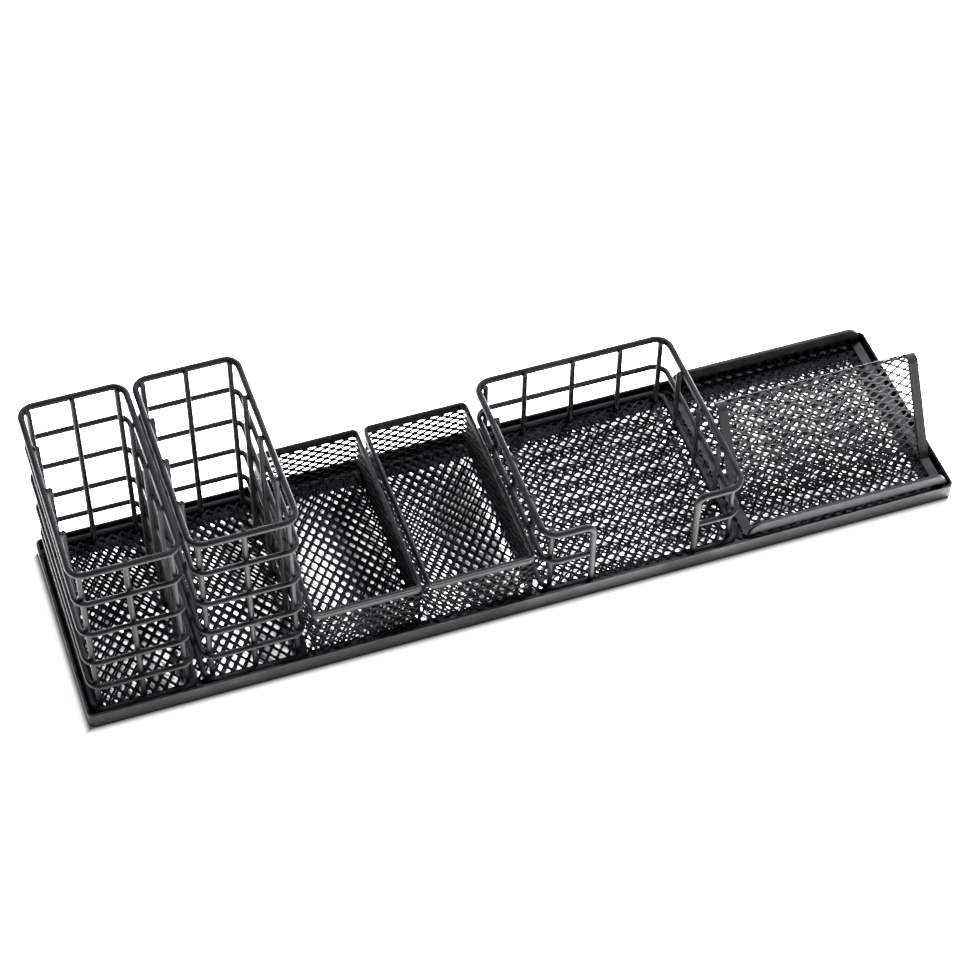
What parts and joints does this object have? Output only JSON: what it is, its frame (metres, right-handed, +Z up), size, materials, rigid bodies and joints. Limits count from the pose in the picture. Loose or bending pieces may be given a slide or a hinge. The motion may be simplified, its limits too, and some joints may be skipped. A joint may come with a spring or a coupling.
{
  "type": "desk organizer",
  "caption": "Black steel desktop organizer: a shallow mesh tray with loose wire pencil cups, mesh bins, a sticky-note holder and a business-card holder.",
  "frame": {"origin": "on the desk, under the middle of the tray", "axes": "+X along the tray from the pencil cups to the card holder, -Y the open front, +Z up"},
  "size_m": [0.405, 0.1024, 0.099],
  "materials": {
    "black_sheet": "satin black powder coat on folded steel sheet",
    "black_wire": "satin black powder coat on welded steel wire",
    "black_mesh": "satin black powder coat on expanded steel mesh"
  },
  "bodies": {
    "tray": {"tray_floor_mesh": "black_mesh", "tray_rim": "black_sheet"},
    "pencil_cup_1": {"pencil_cup_1_base_ring": "black_wire", "pencil_cup_1_floor_mesh": "black_mesh", "pencil_cup_1_ring_1": "black_wire", "pencil_cup_1_ring_2": "black_wire", "pencil_cup_1_ring_3": "black_wire", "pencil_cup_1_ring_4": "black_wire", "pencil_cup_1_top_rim": "black_wire", "pencil_cup_1_uprights": "black_wire"},
    "pencil_cup_2": {"pencil_cup_2_base_ring": "black_wire", "pencil_cup_2_floor_mesh": "black_mesh", "pencil_cup_2_ring_1": "black_wire", "pencil_cup_2_ring_2": "black_wire", "pencil_cup_2_ring_3": "black_wire", "pencil_cup_2_ring_4": "black_wire", "pencil_cup_2_top_rim": "black_wire", "pencil_cup_2_uprights": "black_wire"},
    "mesh_bin_1": {"mesh_bin_1_floor_mesh": "black_mesh", "mesh_bin_1_rim": "black_sheet", "mesh_bin_1_wall_mesh": "black_mesh"},
    "mesh_bin_2": {"mesh_bin_2_floor_mesh": "black_mesh", "mesh_bin_2_rim": "black_sheet", "mesh_bin_2_wall_mesh": "black_mesh"},
    "note_holder": {"note_holder_base_rail": "black_wire", "note_holder_floor_mesh": "black_mesh", "note_holder_middle_rail": "black_wire", "note_holder_top_rail": "black_wire", "note_holder_uprights": "black_wire"},
    "card_holder": {"card_holder_back_lip_band": "black_sheet", "card_holder_base_mesh": "black_mesh", "card_holder_front_lip_band": "black_sheet", "card_holder_left_edge_strip": "black_sheet", "card_holder_panel_frame": "black_sheet", "card_holder_panel_mesh": "black_mesh", "card_holder_right_edge_strip": "black_sheet"}
  },
  "joints": [
    {"name": "lift_pencil_cup_1", "type": "slide", "parent": "tray", "child": "pencil_cup_1", "axis": [0, 0, 1], "range_m": [0, 0.1]},
    {"name": "lift_pencil_cup_2", "type": "slide", "parent": "tray", "child": "pencil_cup_2", "axis": [0, 0, 1], "range_m": [0, 0.1]},
    {"name": "lift_mesh_bin_1", "type": "slide", "parent": "tray", "child": "mesh_bin_1", "axis": [0, 0, 1], "range_m": [0, 0.1]},
    {"name": "lift_mesh_bin_2", "type": "slide", "parent": "tray", "child": "mesh_bin_2", "axis": [0, 0, 1], "range_m": [0, 0.1]},
    {"name": "lift_note_holder", "type": "slide", "parent": "tray", "child": "note_holder", "axis": [0, 0, 1], "range_m": [0, 0.1]},
    {"name": "lift_card_holder", "type": "slide", "parent": "tray", "child": "card_holder", "axis": [0, 0, 1], "range_m": [0, 0.1]}
  ]
}
